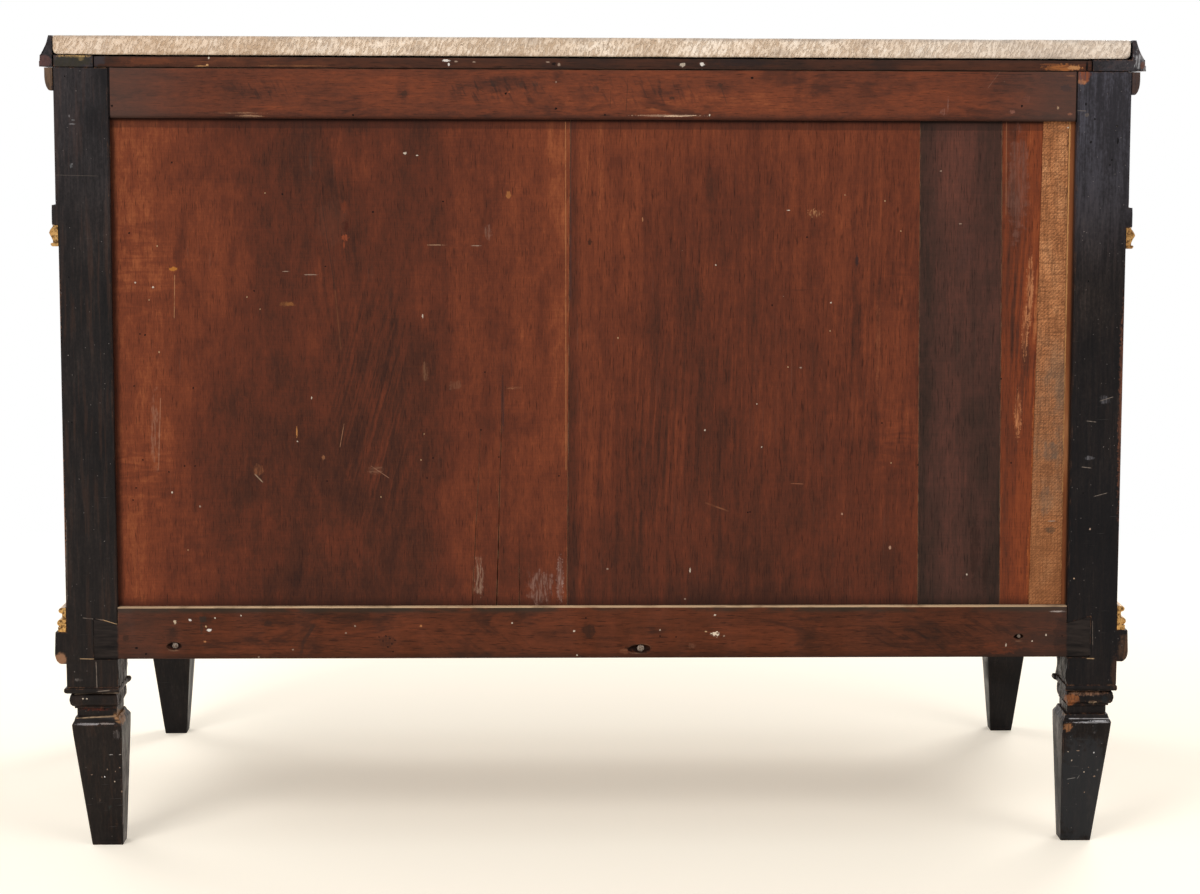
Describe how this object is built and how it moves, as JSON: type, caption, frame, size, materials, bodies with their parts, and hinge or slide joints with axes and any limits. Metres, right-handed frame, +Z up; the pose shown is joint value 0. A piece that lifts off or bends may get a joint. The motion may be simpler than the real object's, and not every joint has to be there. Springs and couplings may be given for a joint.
{
  "type": "commode chest",
  "caption": "Neoclassical commode chest on tapered legs, with a rimmed stone top, a panelled back, a frieze drawer over deep drawers, gilt mounts and bail handles.",
  "frame": {"origin": "on the floor under the middle of the whole chest", "axes": "+X to the viewer's right when the drawers are faced, +Z up, the drawers face -Y and slide out along -Y"},
  "size_m": [1.206, 0.619, 0.9031],
  "materials": {
    "ebonised_wood": "worn black stain, satin",
    "walnut_veneer": "waxed reddish-brown veneer",
    "back_boards": "aged reddish-brown boards, satin",
    "back_rails": "dark reddish-brown, satin",
    "drawer_wood": "unfinished softwood, aged",
    "stone": "opaque cream stone, rough-hewn edge",
    "linen": "coarse tan canvas",
    "gilt_bronze": "aged gilding"
  },
  "bodies": {
    "case": {"post_front_left": "ebonised_wood", "capital_front_left": "gilt_bronze", "base_mount_front_left": "gilt_bronze", "post_front_right": "ebonised_wood", "capital_front_right": "gilt_bronze", "base_mount_front_right": "gilt_bronze", "post_back_left": "ebonised_wood", "capital_back_left": "gilt_bronze", "base_mount_back_left": "gilt_bronze", "post_back_right": "ebonised_wood", "capital_back_right": "gilt_bronze", "base_mount_back_right": "gilt_bronze", "rim_front": "ebonised_wood", "rim_left": "ebonised_wood", "rim_right": "ebonised_wood", "bed_mould_left": "ebonised_wood", "bed_mould_right": "ebonised_wood", "back_top_strip": "back_rails", "marble_top": "stone", "front_top_rail": "ebonised_wood", "drawer_rail_upper": "ebonised_wood", "drawer_rail_lower": "ebonised_wood", "front_plinth_rail": "ebonised_wood", "back_top_rail": "back_rails", "back_bottom_rail": "back_rails", "back_board_1": "back_boards", "back_board_2": "back_boards", "back_board_3": "back_boards", "back_board_4": "back_boards", "linen_strip": "linen", "dust_board_upper": "drawer_wood", "dust_board_lower": "drawer_wood", "bottom_board": "drawer_wood", "side_panel_left": "walnut_veneer", "side_panel_right": "walnut_veneer"},
    "frieze_drawer": {"frieze_drawer_front": "walnut_veneer", "frieze_drawer_side_left": "drawer_wood", "frieze_drawer_side_right": "drawer_wood", "frieze_drawer_back": "drawer_wood", "frieze_drawer_bottom": "drawer_wood"},
    "middle_drawer": {"middle_drawer_front": "walnut_veneer", "middle_drawer_side_left": "drawer_wood", "middle_drawer_side_right": "drawer_wood", "middle_drawer_back": "drawer_wood", "middle_drawer_bottom": "drawer_wood", "middle_key_plate": "gilt_bronze", "middle_handle_plate_left": "gilt_bronze", "middle_handle_plate_right": "gilt_bronze"},
    "bottom_drawer": {"bottom_drawer_front": "walnut_veneer", "bottom_drawer_side_left": "drawer_wood", "bottom_drawer_side_right": "drawer_wood", "bottom_drawer_back": "drawer_wood", "bottom_drawer_bottom": "drawer_wood", "bottom_key_plate": "gilt_bronze", "bottom_handle_plate_left": "gilt_bronze", "bottom_handle_plate_right": "gilt_bronze"},
    "middle_bail_left": {"middle_bail_left": "gilt_bronze"},
    "middle_bail_right": {"middle_bail_right": "gilt_bronze"},
    "bottom_bail_left": {"bottom_bail_left": "gilt_bronze"},
    "bottom_bail_right": {"bottom_bail_right": "gilt_bronze"}
  },
  "joints": [
    {"name": "frieze_drawer_slide", "type": "slide", "parent": "case", "child": "frieze_drawer", "axis": [0, -1, 0], "range_m": [0, 0.4]},
    {"name": "middle_drawer_slide", "type": "slide", "parent": "case", "child": "middle_drawer", "axis": [0, -1, 0], "range_m": [0, 0.4]},
    {"name": "bottom_drawer_slide", "type": "slide", "parent": "case", "child": "bottom_drawer", "axis": [0, -1, 0], "range_m": [0, 0.4]},
    {"name": "middle_bail_left_hinge", "type": "hinge", "parent": "middle_drawer", "child": "middle_bail_left", "pos_m": [-0.3, -0.3009, 0.60925], "axis": [-1, 0, 0], "range_deg": [0, 90]},
    {"name": "middle_bail_right_hinge", "type": "hinge", "parent": "middle_drawer", "child": "middle_bail_right", "pos_m": [0.3, -0.3009, 0.60925], "axis": [-1, 0, 0], "range_deg": [0, 90]},
    {"name": "bottom_bail_left_hinge", "type": "hinge", "parent": "bottom_drawer", "child": "bottom_bail_left", "pos_m": [-0.3, -0.3009, 0.38775], "axis": [-1, 0, 0], "range_deg": [0, 90]},
    {"name": "bottom_bail_right_hinge", "type": "hinge", "parent": "bottom_drawer", "child": "bottom_bail_right", "pos_m": [0.3, -0.3009, 0.38775], "axis": [-1, 0, 0], "range_deg": [0, 90]}
  ]
}
